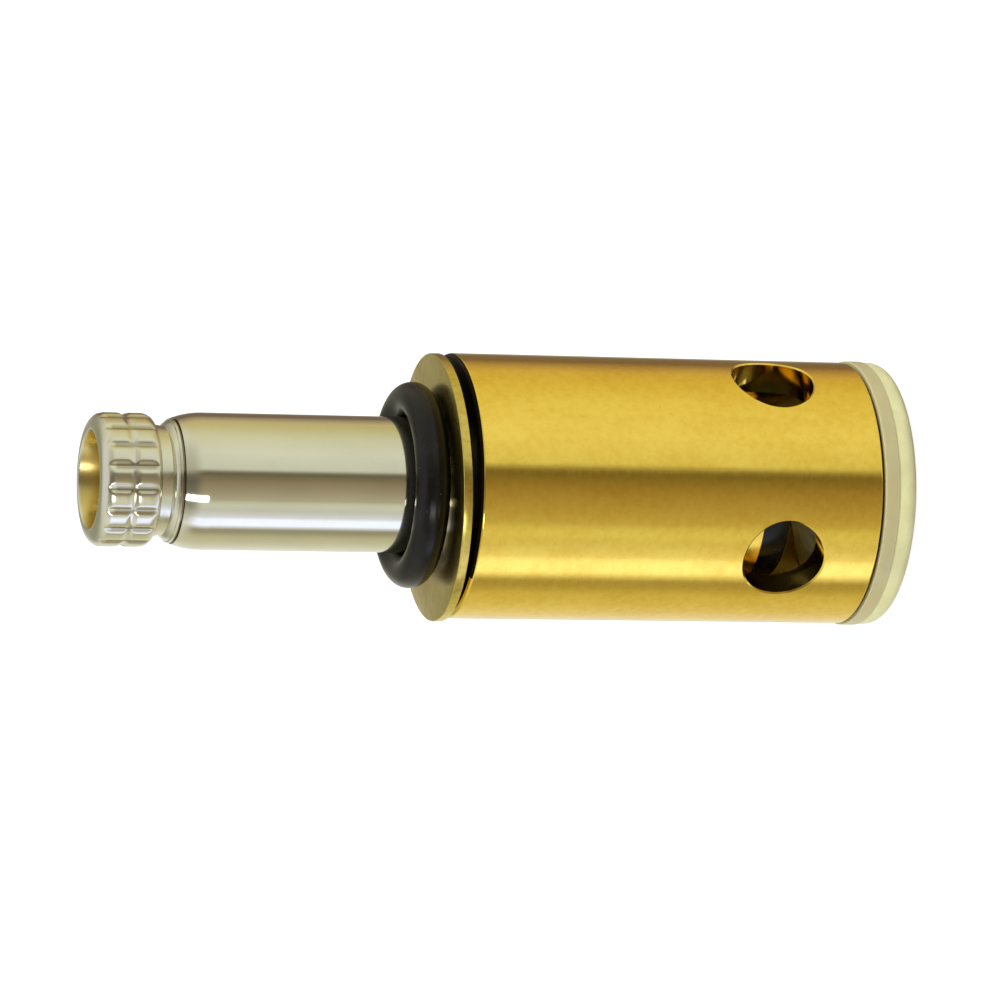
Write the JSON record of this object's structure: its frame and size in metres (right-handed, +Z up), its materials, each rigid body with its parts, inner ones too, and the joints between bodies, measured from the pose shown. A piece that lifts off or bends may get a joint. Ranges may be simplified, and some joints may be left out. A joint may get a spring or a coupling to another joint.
{
  "type": "faucet stem cartridge",
  "caption": "Faucet stem cartridge: splined plated stem turning in a brass barrel with side ports, cam-driven plunger and nylon seat ring.",
  "frame": {"origin": "centre of the seat ring's bottom face, where the cartridge stands in its faucet body", "axes": "+Z up the stem axis, from the seat ring to the splined head; +X through one of the side ports"},
  "size_m": [0.0258, 0.0257, 0.0785],
  "materials": {
    "polished_brass": "polished, fine scratches",
    "turned_brass": "turned",
    "plated_brass": "bright plated",
    "steel_pin": "ground",
    "natural_nylon": "translucent, satin",
    "white_friction_ring": "waxy",
    "black_rubber": "satin"
  },
  "bodies": {
    "barrel": {"barrel": "polished_brass", "seat_ring": "natural_nylon", "thrust_washer": "white_friction_ring", "packing_ring": "black_rubber", "gland_washer": "polished_brass"},
    "spindle": {"stem_spindle": "plated_brass", "neck_o_ring": "black_rubber"},
    "plunger": {"plunger": "turned_brass", "plunger_o_ring": "black_rubber", "cross_pins": "steel_pin", "seat_washer": "black_rubber", "washer_screw": "turned_brass"}
  },
  "joints": [
    {"name": "stem_turn", "type": "hinge", "parent": "barrel", "child": "spindle", "pos_m": [0, 0, 0.04], "axis": [0, 0, 1], "range_deg": [-180, 0]},
    {"name": "plunger_slide", "type": "slide", "parent": "barrel", "child": "plunger", "axis": [0, 0, 1], "range_m": [-0.005, 0]}
  ],
  "couplings": [
    {"joint": "stem_turn", "follows": "plunger_slide", "rad_per_m": 628.32}
  ]
}
